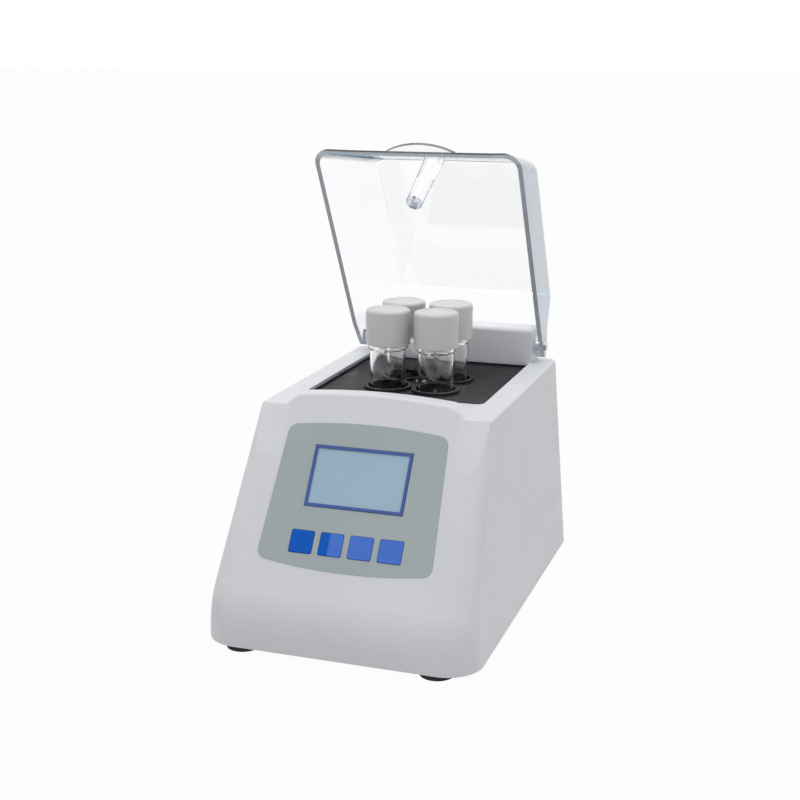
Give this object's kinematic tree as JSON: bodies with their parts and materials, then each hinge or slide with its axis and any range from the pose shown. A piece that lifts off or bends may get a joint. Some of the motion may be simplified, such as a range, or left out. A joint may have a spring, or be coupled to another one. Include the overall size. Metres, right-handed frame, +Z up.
{
  "type": "chemical oxygen demand reactor",
  "caption": "Bench heater that digests capped sample vials in a heated block, with a sloping keypad and display and a clear hinged splash lid.",
  "frame": {"origin": "under the middle of the whole object, on the plane its feet stand on, with the lid open as stored", "axes": "+Z up, -Y the side with the display and keys, +X to the right of a person facing the display"},
  "size_m": [0.2, 0.3452, 0.3385],
  "materials": {
    "housing_plastic": "fine satin texture, near white",
    "hinge_plastic": "fine satin texture, near white",
    "panel_film": "satin film, grey green",
    "display_frame": "printed blue border",
    "display_face": "pale blue liquid crystal face",
    "display_case": "folded steel can",
    "key_deep_blue": "satin",
    "key_blue": "satin",
    "circuit_board": "green solder mask",
    "black_plastic": "fine texture",
    "relay_plastic": "moulded",
    "transformer_steel": "varnished laminations",
    "standoff_brass": "turned",
    "screw_steel": "zinc plated",
    "deck_metal": "charcoal powder coat",
    "block_aluminium": "machined",
    "heater_steel": "rolled",
    "insulation": "pressed mineral fibre",
    "vial_glass": "clear",
    "cap_plastic": "satin, light grey white",
    "liner_rubber": "smooth",
    "lid_plastic": "clear acrylic",
    "bush_plastic": "smooth",
    "tray_metal": "powder coat",
    "foot_rubber": "matt",
    "contact_metal": "nickel plated"
  },
  "bodies": {
    "base": {"housing": "housing_plastic", "base_tray": "tray_metal", "feet": "foot_rubber", "foot_screws": "screw_steel", "base_screws": "screw_steel", "panel_overlay": "panel_film", "display_bezel": "display_frame", "display_glass": "display_face", "display_module": "display_case", "control_board": "circuit_board", "key_switches": "black_plastic", "board_standoffs": "standoff_brass", "board_screws": "screw_steel", "power_board": "circuit_board", "transformer": "transformer_steel", "relay": "relay_plastic", "power_standoffs": "standoff_brass", "power_board_screws": "screw_steel", "deck_plate": "deck_metal", "deck_screws": "screw_steel", "deck_centre_screw": "screw_steel", "deck_spacer": "screw_steel", "heating_block": "block_aluminium", "heater_plate": "heater_steel", "thermal_cutout": "black_plastic", "insulation_jacket": "insulation", "temperature_sensor": "heater_steel", "block_supports": "screw_steel", "hinge_block": "hinge_plastic", "hinge_block_screws": "screw_steel", "hinge_bushes": "bush_plastic", "power_inlet": "black_plastic", "inlet_contacts": "contact_metal", "inlet_screws": "screw_steel", "switch_body": "black_plastic"},
    "lid": {"lid_shell": "lid_plastic", "lid_post": "lid_plastic", "hinge_pins": "screw_steel"},
    "rocker": {"rocker": "black_plastic"},
    "key_1": {"key_1": "key_deep_blue"},
    "vial_1": {"vial_1": "vial_glass"},
    "cap_1": {"cap_1": "cap_plastic", "cap_liner_1": "liner_rubber"},
    "key_2": {"key_2": "key_deep_blue"},
    "vial_2": {"vial_2": "vial_glass"},
    "cap_2": {"cap_2": "cap_plastic", "cap_liner_2": "liner_rubber"},
    "key_3": {"key_3": "key_blue"},
    "vial_3": {"vial_3": "vial_glass"},
    "cap_3": {"cap_3": "cap_plastic", "cap_liner_3": "liner_rubber"},
    "key_4": {"key_4": "key_blue"},
    "vial_4": {"vial_4": "vial_glass"},
    "cap_4": {"cap_4": "cap_plastic", "cap_liner_4": "liner_rubber"}
  },
  "joints": [
    {"name": "lid_hinge", "type": "hinge", "parent": "base", "child": "lid", "pos_m": [0, 0.10897, 0.1706], "axis": [-1, 0, 0], "range_deg": [-60.8, 14.2]},
    {"name": "rocker_pivot", "type": "hinge", "parent": "base", "child": "rocker", "pos_m": [0.02, 0.12442, 0.048], "axis": [1, 0, 0], "range_deg": [0, 14]},
    {"name": "key_1_press", "type": "slide", "parent": "base", "child": "key_1", "axis": [0, 0.8339, -0.5519], "range_m": [0, 0.0005], "stiffness_N_per_m": 1500},
    {"name": "vial_1_lift", "type": "slide", "parent": "base", "child": "vial_1", "axis": [0, 0, 1], "range_m": [0, 0.07]},
    {"name": "cap_1_turn", "type": "hinge", "parent": "vial_1", "child": "cap_1", "pos_m": [-0.01925, 0.00112, 0.2], "axis": [0, 0, 1], "range_deg": [0, 540]},
    {"name": "key_2_press", "type": "slide", "parent": "base", "child": "key_2", "axis": [0, 0.8339, -0.5519], "range_m": [0, 0.0005], "stiffness_N_per_m": 1500},
    {"name": "vial_2_lift", "type": "slide", "parent": "base", "child": "vial_2", "axis": [0, 0, 1], "range_m": [0, 0.07]},
    {"name": "cap_2_turn", "type": "hinge", "parent": "vial_2", "child": "cap_2", "pos_m": [-0.01925, 0.03962, 0.2], "axis": [0, 0, 1], "range_deg": [0, 540]},
    {"name": "key_3_press", "type": "slide", "parent": "base", "child": "key_3", "axis": [0, 0.8339, -0.5519], "range_m": [0, 0.0005], "stiffness_N_per_m": 1500},
    {"name": "vial_3_lift", "type": "slide", "parent": "base", "child": "vial_3", "axis": [0, 0, 1], "range_m": [0, 0.07]},
    {"name": "cap_3_turn", "type": "hinge", "parent": "vial_3", "child": "cap_3", "pos_m": [0.01925, 0.00112, 0.2], "axis": [0, 0, 1], "range_deg": [0, 540]},
    {"name": "key_4_press", "type": "slide", "parent": "base", "child": "key_4", "axis": [0, 0.8339, -0.5519], "range_m": [0, 0.0005], "stiffness_N_per_m": 1500},
    {"name": "vial_4_lift", "type": "slide", "parent": "base", "child": "vial_4", "axis": [0, 0, 1], "range_m": [0, 0.07]},
    {"name": "cap_4_turn", "type": "hinge", "parent": "vial_4", "child": "cap_4", "pos_m": [0.01925, 0.03962, 0.2], "axis": [0, 0, 1], "range_deg": [0, 540]}
  ]
}
